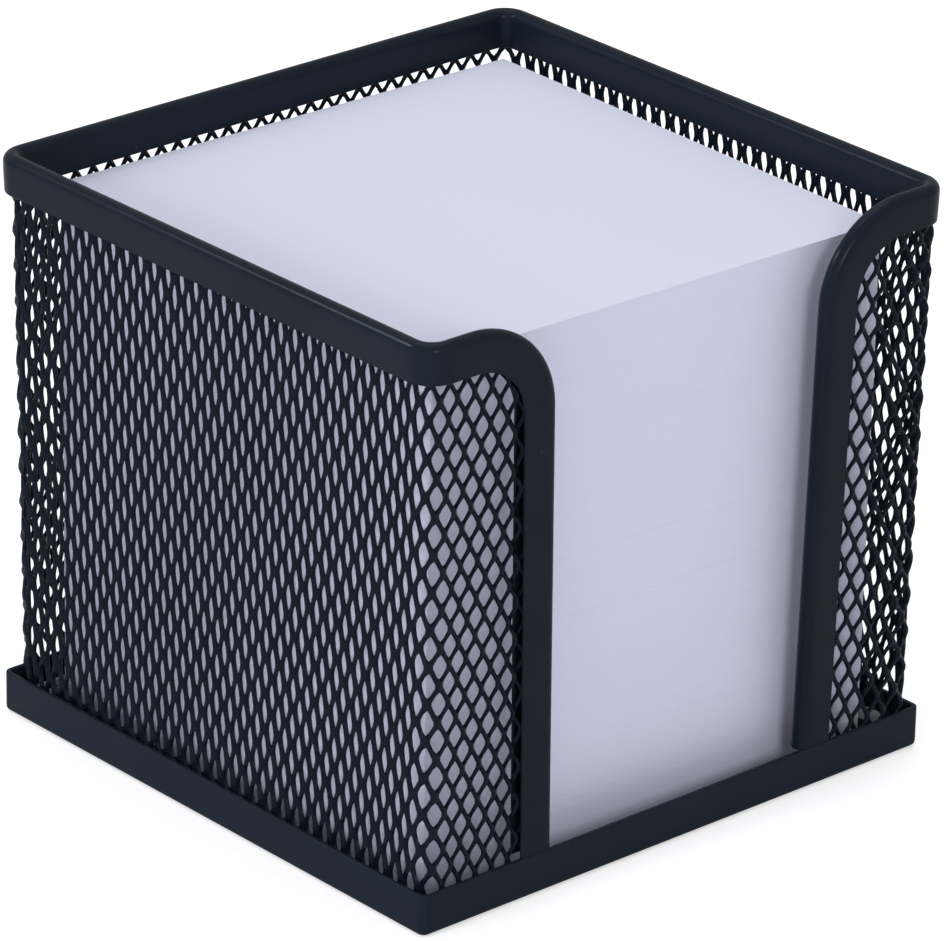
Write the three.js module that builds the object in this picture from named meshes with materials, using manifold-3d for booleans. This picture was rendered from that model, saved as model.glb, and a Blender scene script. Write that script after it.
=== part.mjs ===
// Memo cube holder. A pressed sheet tray carries a wall of expanded metal that
// goes round the rear and both sides and turns in at the front. One folded
// channel finishes the wall's free edge, over the rim and down both sides of the
// front opening. A loose block of note paper stands in it.
// Millimetres, +Z up, the open front faces -Y, the tray stands on Z = 0.

import * as THREE from 'three';
import { mergeVertices } from 'three/addons/utils/BufferGeometryUtils.js';
import Module from 'manifold-3d';

const wasm = await Module();
wasm.setup();

// Note paper, and the free room left round it inside the wall
const paperWidth = 90;
const paperRoomX = 10.5;
const paperRoomY = 8.1;
const packThickness = 9.8;
const packCount = 9;
const sheetThickness = 0.1;
const blockShiftXShare = 0.3;
const blockShiftYShare = 0.457;
const blockTurnShare = -0.266;
const packSlip = 0.15;
const packSlipXShares = [0, 1, -0.6, 0.3, -1, 0.5, 0.9, -0.4, 0.2];
const packSlipYShares = [0, -0.4, 0.7, -1, 0.2, 0.8, -0.6, -0.2, 0.5];

// Tray
const trayLipHeight = 6.85;
const traySheet = 0.8;
const trayCornerRadius = 1.8;
const trayBendRadius = 1.1;

// Overall height, and how far the rim stands out past the tray on each side
const overallHeight = 96.1;
const sideLean = 1.2;
const frontLean = 0.35;

// Folded edge channel
const channelThickness = 2.9;
const channelHeight = 6.4;
const channelSheet = 0.5;
const returnFootWidth = 24.75;
const returnTopWidth = 23.85;
const shoulderRadius = 15.6;

// Expanded metal wall
const wallThickness = 1;
const wallCornerRadius = 3.3;
const wallEdgeGap = 0.3;
const holeWidthShare = 0.8;
const holeHeightShare = 0.76;
const netHalfRows = 9;
const sideNetColumns = 9;
const backNetColumns = 9;
const cornerNetColumns = 1;
const edgeBandWidth = 2.3;

// Facets
const cornerSteps = 6;
const shoulderSteps = 8;
const roundSteps = 3;
const trayCornerSteps = 4;

// Points closer than this are one point; a cutting plate stands out this far
const weldTolerance = 1e-4;
const cutOverrun = 0.5;

// Where the wall's middle runs, at lip level and at the rim. It goes round the
// paper and its room, and the tray goes round it, clear of the bend inside.
const wallHalfX = (paperWidth + paperRoomX + wallThickness) / 2;
const wallHalfY = (paperWidth + paperRoomY + wallThickness) / 2;
const trayInnerBend = trayBendRadius - traySheet;
const wallInset = traySheet + trayInnerBend + wallThickness / 2;
const trayWidth = 2 * (wallHalfX + wallInset);
const trayDepth = 2 * (wallHalfY + wallInset);
const rimHalfX = trayWidth / 2 + sideLean - channelThickness / 2;
const rimHalfY = trayDepth / 2 + frontLean - channelThickness / 2;
const leanHeight = overallHeight - trayLipHeight;
const leanX = (rimHalfX - wallHalfX) / (wallHalfX * leanHeight);
const leanY = (rimHalfY - wallHalfY) / (wallHalfY * leanHeight);

// The wall's edge inside the channel
const edgeDepth = channelThickness / 2 + wallEdgeGap;
const wallFoot = traySheet;
const wallTop = overallHeight - edgeDepth;
const netHalfPitchZ = (wallTop - wallFoot) / netHalfRows;

// The wall's path in plan, from the middle of the front round by -X, +Y and +X.
// It is a chain of straight runs and quarter turns, each with its own piece.
const runX = wallHalfX - wallCornerRadius;
const runY = wallHalfY - wallCornerRadius;
const turn = wallCornerRadius * Math.PI / 2;
const path = [
  { name: 'wall_return_left', length: runX, from: [0, -wallHalfY], along: [-1, 0] },
  { name: 'wall_corner_front_left', length: turn, centre: [-runX, -runY], start: [0, -1] },
  { name: 'wall_left', length: 2 * runY, from: [-wallHalfX, -runY], along: [0, 1] },
  { name: 'wall_corner_rear_left', length: turn, centre: [-runX, runY], start: [-1, 0] },
  { name: 'wall_rear', length: 2 * runX, from: [-runX, wallHalfY], along: [1, 0] },
  { name: 'wall_corner_rear_right', length: turn, centre: [runX, runY], start: [0, 1] },
  { name: 'wall_right', length: 2 * runY, from: [wallHalfX, runY], along: [0, -1] },
  { name: 'wall_corner_front_right', length: turn, centre: [runX, -runY], start: [1, 0] },
  { name: 'wall_return_right', length: runX, from: [runX, -wallHalfY], along: [-1, 0] },
];
let pathLength = 0;
for (const leg of path) {
  leg.begin = pathLength;
  pathLength += leg.length;
}

// Point and outward normal of the wall's middle at a distance along the path
function planAt(distance) {
  let leg = path[path.length - 1];
  for (const candidate of path) {
    if (distance <= candidate.begin + candidate.length) {
      leg = candidate;
      break;
    }
  }
  const past = distance - leg.begin;
  if (leg.from) {
    const [ax, ay] = leg.along;
    return [leg.from[0] + ax * past, leg.from[1] + ay * past, -ay, ax];
  }
  const angle = past / wallCornerRadius;
  const [sx, sy] = leg.start;
  const nx = sx * Math.cos(angle) + sy * Math.sin(angle);
  const ny = sy * Math.cos(angle) - sx * Math.sin(angle);
  return [leg.centre[0] + nx * wallCornerRadius, leg.centre[1] + ny * wallCornerRadius, nx, ny];
}

// From (distance along the wall, distance out of it, height) to the leaning wall
function wallPoint(distance, out, height) {
  const [px, py, nx, ny] = planAt(distance);
  const rise = height - trayLipHeight;
  const x = (px + nx * out) * (1 + leanX * rise);
  const y = (py + ny * out) * (1 + leanY * rise);
  return [x, y, height];
}

function geometryFrom(points, triangles) {
  const geometry = new THREE.BufferGeometry();
  geometry.setAttribute('position', new THREE.Float32BufferAttribute(points.flat(), 3));
  geometry.setIndex(triangles.flat());
  return geometry;
}

function welded(geometry) {
  const bare = geometry.clone();
  bare.deleteAttribute('normal');
  bare.deleteAttribute('uv');
  return mergeVertices(bare, weldTolerance);
}

function toWall(geometry) {
  const bent = geometry.clone();
  const places = bent.getAttribute('position');
  for (let i = 0; i < places.count; i++) {
    places.setXYZ(i, ...wallPoint(places.getX(i), places.getY(i), places.getZ(i)));
  }
  return bent;
}

function toSolid(geometry) {
  const merged = welded(geometry);
  const vertProperties = new Float32Array(merged.getAttribute('position').array);
  const triVerts = new Uint32Array(merged.getIndex().array);
  return new wasm.Manifold(new wasm.Mesh({ numProp: 3, vertProperties, triVerts }));
}

function fromSolid(solid) {
  const mesh = solid.getMesh();
  const geometry = new THREE.BufferGeometry();
  geometry.setAttribute('position', new THREE.BufferAttribute(new Float32Array(mesh.vertProperties), 3));
  geometry.setIndex(new THREE.BufferAttribute(new Uint32Array(mesh.triVerts), 1));
  return geometry;
}

// Expanded metal laid flat: staggered diamonds between two distances along the
// wall. Each half-pitch box holds two quarter diamonds, drawn as frames, so that
// holes cut by an end of the piece are finished by the next piece.
function netGeometry(from, to, halfColumns, startIndex) {
  const halfPitch = (to - from) / halfColumns;
  const halfRows = netHalfRows;
  const points = [];
  const triangles = [];
  const face = (corners, forward) => {
    const base = points.length;
    points.push(...corners);
    const order = forward ? [0, 1, 2, 0, 2, 3] : [0, 2, 1, 0, 3, 2];
    triangles.push(order.map((k) => base + k));
  };
  const half = wallThickness / 2;
  const quarter = (column, row, toRight, toTop) => {
    const s = from + column * halfPitch;
    const z = wallFoot + row * netHalfPitchZ;
    const outline = [
      [s + toRight * halfPitch, z],
      [s, z + toTop * netHalfPitchZ],
      [s, z + toTop * netHalfPitchZ * holeHeightShare],
      [s + toRight * halfPitch * holeWidthShare, z],
    ];
    const outer = outline.map(([a, b]) => [a, half, b]);
    const inner = outline.map(([a, b]) => [a, -half, b]);
    const plain = toRight * toTop > 0;
    face(outer, !plain);
    face(inner, plain);
    const wall = (i, j) => face([outer[i], outer[j], inner[j], inner[i]], plain);
    wall(2, 3);
    const atSide = (column === 0 && toRight > 0) || (column === halfColumns && toRight < 0);
    const atEdge = (row === 0 && toTop > 0) || (row === halfRows && toTop < 0);
    if (atSide) {
      wall(1, 2);
    }
    if (atEdge) {
      wall(3, 0);
    }
  };
  for (let column = 0; column < halfColumns; column++) {
    for (let row = 0; row < halfRows; row++) {
      if ((startIndex + column + row) % 2 === 0) {
        quarter(column, row, 1, 1);
        quarter(column + 1, row + 1, -1, -1);
      } else {
        quarter(column + 1, row, -1, 1);
        quarter(column, row + 1, 1, -1);
      }
    }
  }
  return geometryFrom(points, triangles);
}

// The channel's outer edge on the unrolled wall, left half: up the leg, round
// the shoulder, to the top. Each entry is a place and the direction inward.
const shoulderLevel = overallHeight - shoulderRadius;
const shoulderCentre = wallHalfX - returnTopWidth + shoulderRadius;
const leftEdge = [{ at: [wallHalfX - returnFootWidth, trayLipHeight], inward: [1, 0] }];
for (let i = 0; i <= shoulderSteps; i++) {
  const angle = (Math.PI / 2) * (i / shoulderSteps);
  const inward = [Math.cos(angle), -Math.sin(angle)];
  const at = [shoulderCentre - shoulderRadius * inward[0], shoulderLevel - shoulderRadius * inward[1]];
  leftEdge.push({ at, inward });
}
const mirrored = ({ at, inward }) => ({
  at: [pathLength - at[0], at[1]],
  inward: [-inward[0], inward[1]],
});
const rightEdge = leftEdge.map(mirrored).reverse();

// Points of the edge line, offset inward, for one side of the opening
function edgeOffset(edge, inset) {
  return edge.map(({ at, inward }) => [at[0] + inward[0] * inset, at[1] + inward[1] * inset]);
}

// A flat plate on the unrolled wall from an outline of (distance, height)
function plate(outline, thickness) {
  const shape = new THREE.Shape(outline.map(([s, z]) => new THREE.Vector2(s, z)));
  const geometry = new THREE.ExtrudeGeometry(shape, { depth: thickness, bevelEnabled: false });
  geometry.rotateX(Math.PI / 2);
  geometry.translate(0, thickness / 2, 0);
  return geometry;
}

// The part of the wall that turns in at the front, trimmed to follow the leg and
// the shoulder, with the solid band along its edge that sits in the channel.
const returnHalfPitch = runX / backNetColumns;
const returnReach = runX - Math.min(...edgeOffset(leftEdge, edgeDepth).map(([s]) => s));
const returnHalfColumns = Math.ceil(returnReach / returnHalfPitch);

function returnNet(onLeft) {
  const edge = onLeft ? leftEdge : rightEdge.slice().reverse();
  const cornerEnd = onLeft ? runX : pathLength - runX;
  const netLength = returnHalfColumns * returnHalfPitch;
  const freeEnd = onLeft ? cornerEnd - netLength : cornerEnd + netLength;
  const low = Math.min(cornerEnd, freeEnd);
  const high = Math.max(cornerEnd, freeEnd);
  const net = toSolid(netGeometry(low, high, returnHalfColumns, 0));
  const outerLine = edgeOffset(edge, edgeDepth);
  const innerLine = edgeOffset(edge, edgeDepth + edgeBandWidth);
  const footed = ([first, ...rest]) => [[first[0], wallFoot], [first[0], trayLipHeight], ...rest];
  const closedBy = (line) => [...footed(line), [cornerEnd, wallTop], [cornerEnd, wallFoot]];
  const trim = toSolid(plate(closedBy(outerLine), wallThickness + 2 * cutOverrun));
  const strip = [...footed(outerLine), ...footed(innerLine).reverse()];
  const band = toSolid(plate(strip, wallThickness));
  const piece = net.intersect(trim).add(band);
  return fromSolid(piece);
}

// The channel's cross-section as (distance in from its edge, distance out)
function channelSection() {
  const outerRadius = channelThickness / 2;
  const innerRadius = outerRadius - channelSheet;
  const arc = (radius) => {
    const line = [];
    for (let i = 0; i <= 2 * roundSteps; i++) {
      const angle = (Math.PI / 2) * (1 - i / roundSteps);
      line.push([outerRadius - radius * Math.cos(angle), radius * Math.sin(angle)]);
    }
    return line;
  };
  const outside = [[channelHeight, outerRadius], ...arc(outerRadius), [channelHeight, -outerRadius]];
  const inside = [[channelHeight, innerRadius], ...arc(innerRadius), [channelHeight, -innerRadius]];
  return [...outside, ...inside.reverse()];
}

function channelGeometry() {
  const stations = [...leftEdge];
  for (const leg of path) {
    if (leg.centre) {
      for (let i = 0; i <= cornerSteps; i++) {
        const distance = leg.begin + leg.length * (i / cornerSteps);
        stations.push({ at: [distance, overallHeight], inward: [0, -1] });
      }
    }
  }
  stations.push(...rightEdge);
  const section = channelSection();
  const points = [];
  for (const { at, inward } of stations) {
    for (const [inset, out] of section) {
      points.push(wallPoint(at[0] + inward[0] * inset, out, at[1] + inward[1] * inset));
    }
  }
  const size = section.length;
  const triangles = [];
  for (let ring = 0; ring + 1 < stations.length; ring++) {
    for (let k = 0; k < size; k++) {
      const a = ring * size + k;
      const b = ring * size + ((k + 1) % size);
      triangles.push([a, b, b + size], [a, b + size, a + size]);
    }
  }
  const flat = section.map(([inset, out]) => new THREE.Vector2(inset, out));
  const last = (stations.length - 1) * size;
  for (const [i, j, k] of THREE.ShapeUtils.triangulateShape(flat, [])) {
    triangles.push([i, k, j], [last + i, last + j, last + k]);
  }
  return geometryFrom(points, triangles);
}

// The tray: one profile of (distance in from the outline, height) carried round
// the rounded rectangle, with the floor closed above and below.
function trayGeometry() {
  const profile = [];
  for (let i = 0; i <= roundSteps; i++) {
    const angle = (Math.PI / 2) * (i / roundSteps);
    profile.push([trayBendRadius * (1 - Math.sin(angle)), trayBendRadius * (1 - Math.cos(angle))]);
  }
  profile.push([0, trayLipHeight], [traySheet, trayLipHeight]);
  for (let i = roundSteps; i >= 0; i--) {
    const angle = (Math.PI / 2) * (i / roundSteps);
    const inset = traySheet + trayInnerBend * (1 - Math.sin(angle));
    profile.push([inset, traySheet + trayInnerBend * (1 - Math.cos(angle))]);
  }
  const points = [];
  const corners = [[1, 1], [-1, 1], [-1, -1], [1, -1]];
  for (const [inset, height] of profile) {
    const radius = trayCornerRadius - inset;
    corners.forEach(([cx, cy], quarterTurn) => {
      for (let i = 0; i <= trayCornerSteps; i++) {
        const angle = (Math.PI / 2) * (quarterTurn + i / trayCornerSteps);
        const x = cx * (trayWidth / 2 - trayCornerRadius) + radius * Math.cos(angle);
        const y = cy * (trayDepth / 2 - trayCornerRadius) + radius * Math.sin(angle);
        points.push([x, y, height]);
      }
    });
  }
  const size = corners.length * (trayCornerSteps + 1);
  const triangles = [];
  for (let ring = 0; ring + 1 < profile.length; ring++) {
    for (let k = 0; k < size; k++) {
      const a = ring * size + k;
      const b = ring * size + ((k + 1) % size);
      triangles.push([a, b, b + size], [a, b + size, a + size]);
    }
  }
  const last = (profile.length - 1) * size;
  for (let k = 1; k + 1 < size; k++) {
    triangles.push([0, k + 1, k], [last, last + k, last + k + 1]);
  }
  return geometryFrom(points, triangles);
}

const blackCoat = { color: 0x1d222c, roughness: 0.42, metalness: 0.25 };
const blackNet = { color: 0x1a1f28, roughness: 0.48, metalness: 0.25 };
const whitePaper = { color: 0xe4e6f0, roughness: 0.9, metalness: 0 };

const holder = new THREE.Group();

function addPiece(parent, name, geometry, look) {
  const shown = geometry.index ? geometry.toNonIndexed() : geometry;
  shown.deleteAttribute('normal');
  const clean = mergeVertices(shown, weldTolerance).toNonIndexed();
  clean.computeVertexNormals();
  const mesh = new THREE.Mesh(clean, new THREE.MeshStandardMaterial(look));
  mesh.name = name;
  parent.add(mesh);
  return mesh;
}

addPiece(holder, 'base_tray', trayGeometry(), blackCoat);

// The wall, piece by piece along its path. Neighbours meet at their knuckles.
const [leftReturn, ...middle] = path;
const rightReturn = middle.pop();
addPiece(holder, leftReturn.name, toWall(returnNet(true)), blackNet);
let column = returnHalfColumns;
for (const { name, begin, length, centre, along } of middle) {
  const columns = centre ? cornerNetColumns : along[0] ? backNetColumns : sideNetColumns;
  const flat = netGeometry(begin, begin + length, 2 * columns, column);
  addPiece(holder, name, toWall(flat), blackNet);
  column += 2 * columns;
}
addPiece(holder, rightReturn.name, toWall(returnNet(false)), blackNet);

addPiece(holder, 'rim_channel', channelGeometry(), blackCoat);

// The paper: packs of about a hundred sheets, and the sheet on top
const block = new THREE.Group();
const blockOffsetX = (blockShiftXShare * paperRoomX) / 2;
const blockOffsetY = (blockShiftYShare * paperRoomY) / 2;
block.position.set(blockOffsetX, blockOffsetY, traySheet);
block.rotation.z = Math.atan((blockTurnShare * paperRoomY) / paperWidth);
holder.add(block);
for (let i = 0; i < packCount; i++) {
  const pack = new THREE.BoxGeometry(paperWidth, paperWidth, packThickness);
  const mesh = addPiece(block, `note_pack_${i + 1}`, pack, whitePaper);
  const slipX = packSlip * packSlipXShares[i % packSlipXShares.length];
  const slipY = packSlip * packSlipYShares[i % packSlipYShares.length];
  mesh.position.set(slipX, slipY, packThickness * (i + 0.5));
}
const sheet = new THREE.BoxGeometry(paperWidth, paperWidth, sheetThickness);
const top = addPiece(block, 'top_sheet', sheet, whitePaper);
top.position.set(0, 0, packThickness * packCount + sheetThickness / 2);

export default holder;
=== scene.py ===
"""Dressed model of the memo cube holder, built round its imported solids.

A pressed sheet tray carries a wall of expanded metal, a folded channel finishes
the wall's free edge, and a block of loose note paper stands inside. Everything
is in metres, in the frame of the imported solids: +Z up, the open front faces -Y.
"""

from __future__ import annotations

import logging
import math
from collections.abc import Iterator, Sequence
from contextlib import contextmanager
from dataclasses import dataclass, field, replace
from enum import Enum

import bmesh
import bpy
from mathutils import Matrix, Vector


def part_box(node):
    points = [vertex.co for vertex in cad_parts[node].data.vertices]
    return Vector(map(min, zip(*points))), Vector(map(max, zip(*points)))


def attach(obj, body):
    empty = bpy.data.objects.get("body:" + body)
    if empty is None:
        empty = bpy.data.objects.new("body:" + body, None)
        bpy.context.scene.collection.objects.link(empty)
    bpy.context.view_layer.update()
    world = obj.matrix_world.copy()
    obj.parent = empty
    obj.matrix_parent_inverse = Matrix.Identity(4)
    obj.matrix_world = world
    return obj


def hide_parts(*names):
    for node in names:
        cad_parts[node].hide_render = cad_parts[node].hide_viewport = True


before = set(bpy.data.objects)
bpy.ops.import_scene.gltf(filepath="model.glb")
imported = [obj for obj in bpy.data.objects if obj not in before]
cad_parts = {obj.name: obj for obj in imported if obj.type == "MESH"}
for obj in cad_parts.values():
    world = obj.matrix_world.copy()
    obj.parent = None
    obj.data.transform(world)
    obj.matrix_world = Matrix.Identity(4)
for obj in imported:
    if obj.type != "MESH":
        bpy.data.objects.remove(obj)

Item = bpy.types.Object
Material = bpy.types.Material
Tree = bpy.types.NodeTree
Socket = bpy.types.NodeSocket
Sockets = bpy.types.bpy_prop_collection
Pair = tuple[float, float]
Triple = tuple[float, float, float]
Colour = tuple[float, float, float, float]

LOG = logging.getLogger("memo_cube_holder")
MM = 0.001
WELD = 0.0001 * MM

# Named inputs that bend a piece onto the wall, lay the mesh on it and cut the mesh at its edge
BEND_FLOATS = ("Lip Level", "Lean X", "Lean Y", "Shift X", "Shift Y")
LAY_ENDS = tuple(f"{name} {end}" for name in ("Leg", "Column", "Rise", "Drift") for end in ("Begin", "End"))
LAY_FLOATS = ("Half Pitch", "Middle Level", *LAY_ENDS)
SHOULDER_FLOATS = tuple(f"Shoulder {name}" for name in ("Place", "Level", "Radius"))
EDGE_FLOATS = ("Path Length", *SHOULDER_FLOATS, "Foot Place", "Least Inset")


class Body(Enum):
    """The bodies that pieces ride on."""

    HOLDER = "holder"
    BLOCK = "paper_block"
    TOP = "top_sheet"


class Slot(Enum):
    """The material slots."""

    COAT = "coat"
    NET = "net"
    PAPER = "paper"


class TreeKind(Enum):
    """The kinds of node tree that are built."""

    GEOMETRY = "GeometryNodeTree"
    SHADER = "ShaderNodeTree"


# Sizes


@dataclass(frozen=True)
class HolderSizes:
    """Sizes that the holder's pieces share, in metres.

    The path that the wall follows starts at the middle of the front and runs
    round by -X, +Y and +X. Places on the wall are given as a distance along
    that path, a distance out of it and a height.
    """

    paper_width: float = 90 * MM
    paper_room_x: float = 10.5 * MM
    paper_room_y: float = 8.1 * MM
    wall_thickness: float = 1 * MM
    wall_corner: float = 3.3 * MM
    lip_height: float = 6.85 * MM
    sheet: float = 0.8 * MM
    tray_bend: float = 1.1 * MM
    height: float = 96.1 * MM
    side_lean: float = 1.2 * MM
    front_lean: float = 0.35 * MM
    channel_thickness: float = 2.9 * MM
    return_foot: float = 24.75 * MM
    return_top: float = 23.85 * MM
    shoulder: float = 15.6 * MM
    block_turn_share: float = -0.266

    @property
    def block_turn(self) -> float:
        """How far the paper block stands turned in the holder, in radians."""
        return math.atan(self.block_turn_share * self.paper_room_y / self.paper_width)

    @property
    def half_x(self) -> float:
        """Half the wall's width at its middle, at lip level."""
        return (self.paper_width + self.paper_room_x + self.wall_thickness) / 2

    @property
    def half_y(self) -> float:
        """Half the wall's depth at its middle, at lip level."""
        return (self.paper_width + self.paper_room_y + self.wall_thickness) / 2

    @property
    def tray_half(self) -> Pair:
        """Half the tray's width and depth."""
        inset = self.tray_bend + self.wall_thickness / 2
        return self.half_x + inset, self.half_y + inset

    @property
    def lean(self) -> Pair:
        """How much the wall's plan grows for each metre of height.

        Returns:
            The share that it grows by in X and in Y.
        """
        rise = self.height - self.lip_height
        tray_x, tray_y = self.tray_half
        rim_x = tray_x + self.side_lean - self.channel_thickness / 2
        rim_y = tray_y + self.front_lean - self.channel_thickness / 2
        return (rim_x / self.half_x - 1) / rise, (rim_y / self.half_y - 1) / rise

    @property
    def runs(self) -> Triple:
        """Length of half a side in X, half a side in Y, and of a corner."""
        corner = self.wall_corner * math.pi / 2
        return self.half_x - self.wall_corner, self.half_y - self.wall_corner, corner

    @property
    def path_length(self) -> float:
        """Length of the whole path."""
        return 4 * sum(self.runs)

    @property
    def foot_place(self) -> float:
        """Where the channel's outer edge meets the tray, as a distance along the path."""
        return self.half_x - self.return_foot

    @property
    def shoulder_place(self) -> float:
        """Where the centre of the channel's shoulder lies along the path."""
        return self.half_x - self.return_top + self.shoulder

    @property
    def shoulder_level(self) -> float:
        """Height of the centre of the channel's shoulder."""
        return self.height - self.shoulder

    def legs(self) -> list[tuple[str, float, float]]:
        """Lists the wall's pieces along the path.

        Returns:
            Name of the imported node, start and end of each piece.
        """
        run_x, run_y, corner = self.runs
        lengths = [
            ("wall_return_left", run_x),
            ("wall_corner_front_left", corner),
            ("wall_left", 2 * run_y),
            ("wall_corner_rear_left", corner),
            ("wall_rear", 2 * run_x),
            ("wall_corner_rear_right", corner),
            ("wall_right", 2 * run_y),
            ("wall_corner_front_right", corner),
            ("wall_return_right", run_x),
        ]
        found, begin = [], 0.0
        for name, length in lengths:
            found.append((name, begin, begin + length))
            begin += length
        return found

    def plan_points(self, straight_step: float, corner_steps: int) -> list[Triple]:
        """Draws the path in plan, dense enough to sample its direction.

        Args:
            straight_step: Longest step along a straight run.
            corner_steps: Steps round one corner.

        Returns:
            Points in order, at height zero.
        """
        run_x, run_y, _ = self.runs
        corners = [(-run_x, -run_y, -90), (-run_x, run_y, 180), (run_x, run_y, 90), (run_x, -run_y, 0)]
        front = (0.0, -self.half_y)
        points = [front]
        for x, y, start in corners:
            points += arc((x, y), self.wall_corner, start, -90, corner_steps)
        points.append(front)
        dense = [front]
        for (ax, ay), (bx, by) in zip(points, points[1:]):
            count = max(1, math.ceil(math.hypot(bx - ax, by - ay) / straight_step))
            dense += [(ax + (bx - ax) * k / count, ay + (by - ay) * k / count) for k in range(1, count + 1)]
        return [(x, y, 0.0) for x, y in dense]


# Mesh helpers


def arc(centre: Pair, radius: float, start: float, turn: float, steps: int) -> list[Pair]:
    """Draws an arc, with both its ends.

    Args:
        centre: Centre of the arc.
        radius: Radius of the arc.
        start: Angle of the first point, in degrees.
        turn: Angle from the first point to the last, in degrees.
        steps: Steps from the first point to the last.

    Returns:
        The points in order.
    """
    angles = [math.radians(start + turn * i / steps) for i in range(steps + 1)]
    return [(centre[0] + radius * math.cos(a), centre[1] + radius * math.sin(a)) for a in angles]


def linked(name: str, data: bpy.types.ID) -> Item:
    """Makes an object at the origin from its data and links it to the scene.

    Args:
        name: Name of the object.
        data: Its mesh, curve, lamp or camera.

    Returns:
        The object.
    """
    made = bpy.data.objects.new(name, data)
    bpy.context.scene.collection.objects.link(made)
    return made


def mesh_object(name: str, points: Sequence = ((0, 0, 0),), faces: Sequence = ()) -> Item:
    """Makes an object at the origin from points and faces.

    Args:
        name: Name of the object.
        points: Corner positions in metres; one at the origin where a tree replaces them.
        faces: Corner indices of each face, facing out.

    Returns:
        The new object, linked to the scene.
    """
    mesh = bpy.data.meshes.new(name)
    mesh.from_pydata([tuple(map(float, p)) for p in points], [], [tuple(map(int, f)) for f in faces])
    mesh.update()
    return linked(name, mesh)


@contextmanager
def opened(mesh: bpy.types.Mesh) -> Iterator[bmesh.types.BMesh]:
    """Opens a mesh for edits and writes it back at the end.

    Args:
        mesh: The mesh.

    Yields:
        The mesh to edit.
    """
    shell = bmesh.new()
    shell.from_mesh(mesh)
    yield shell
    shell.to_mesh(mesh)
    shell.free()


def lofted(rings: Sequence[Sequence]) -> tuple[list, list]:
    """Joins rings of equal size into a tube with closed ends.

    Args:
        rings: Rings of points, each in the same order.

    Returns:
        Points and faces.
    """
    size = len(rings[0])
    last = (len(rings) - 1) * size
    points = [p for ring in rings for p in ring]
    faces = []
    for start in range(0, last, size):
        for k in range(size):
            a, b = start + k, start + (k + 1) % size
            faces.append((a, b, b + size, a + size))
    return points, [*faces, tuple(reversed(range(size))), tuple(range(last, last + size))]


def facing_out(made: Item) -> Item:
    """Joins the doubled points of a closed mesh and turns its faces outwards.

    Args:
        made: The object.

    Returns:
        The object.
    """
    with opened(made.data) as shell:
        bmesh.ops.remove_doubles(shell, verts=shell.verts, dist=WELD)
        bmesh.ops.recalc_face_normals(shell, faces=shell.faces)
    return made


def shaded(made: Item, sharp_degrees: float) -> Item:
    """Shades an object smooth, apart from edges sharper than an angle.

    Args:
        made: The object.
        sharp_degrees: The angle.

    Returns:
        The object.
    """
    made.data.shade_smooth()
    made.data.set_sharp_from_angle(angle=math.radians(sharp_degrees))
    return made


def capped(made: Item) -> Item:
    """Closes the open ends of a mesh with one face each.

    Args:
        made: The object.

    Returns:
        The object.
    """
    with opened(made.data) as shell:
        open_edges = [edge for edge in shell.edges if edge.is_boundary]
        if open_edges:
            bmesh.ops.holes_fill(shell, edges=open_edges, sides=0)
    return made


def with_nodes(made: Item, tree: Tree, values: dict[str, object]) -> Item:
    """Runs a geometry tree on an object and keeps the result as its plain mesh.

    Args:
        made: The object.
        tree: The tree.
        values: Value for each named input.

    Returns:
        The object with its new mesh and no modifier.
    """
    modifier = made.modifiers.new(tree.name, "NODES")
    modifier.node_group = tree
    for item in tree.interface.items_tree:
        if item.in_out == "INPUT" and item.name in values:
            modifier[item.identifier] = values[item.name]
    bpy.context.view_layer.update()
    graph = bpy.context.evaluated_depsgraph_get()
    plain = bpy.data.meshes.new_from_object(made.evaluated_get(graph), depsgraph=graph)
    made.modifiers.clear()
    old, made.data = made.data, plain
    bpy.data.meshes.remove(old)
    return made


def placed(made: Item, body: Body, slot: Slot, *nodes: str) -> None:
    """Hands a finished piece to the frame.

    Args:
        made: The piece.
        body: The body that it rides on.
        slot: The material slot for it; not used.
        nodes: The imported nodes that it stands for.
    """
    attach(made, body.value)
    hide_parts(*nodes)
    LOG.info("%s: %d faces", made.name, len(made.data.polygons))


# Node desks


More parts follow.
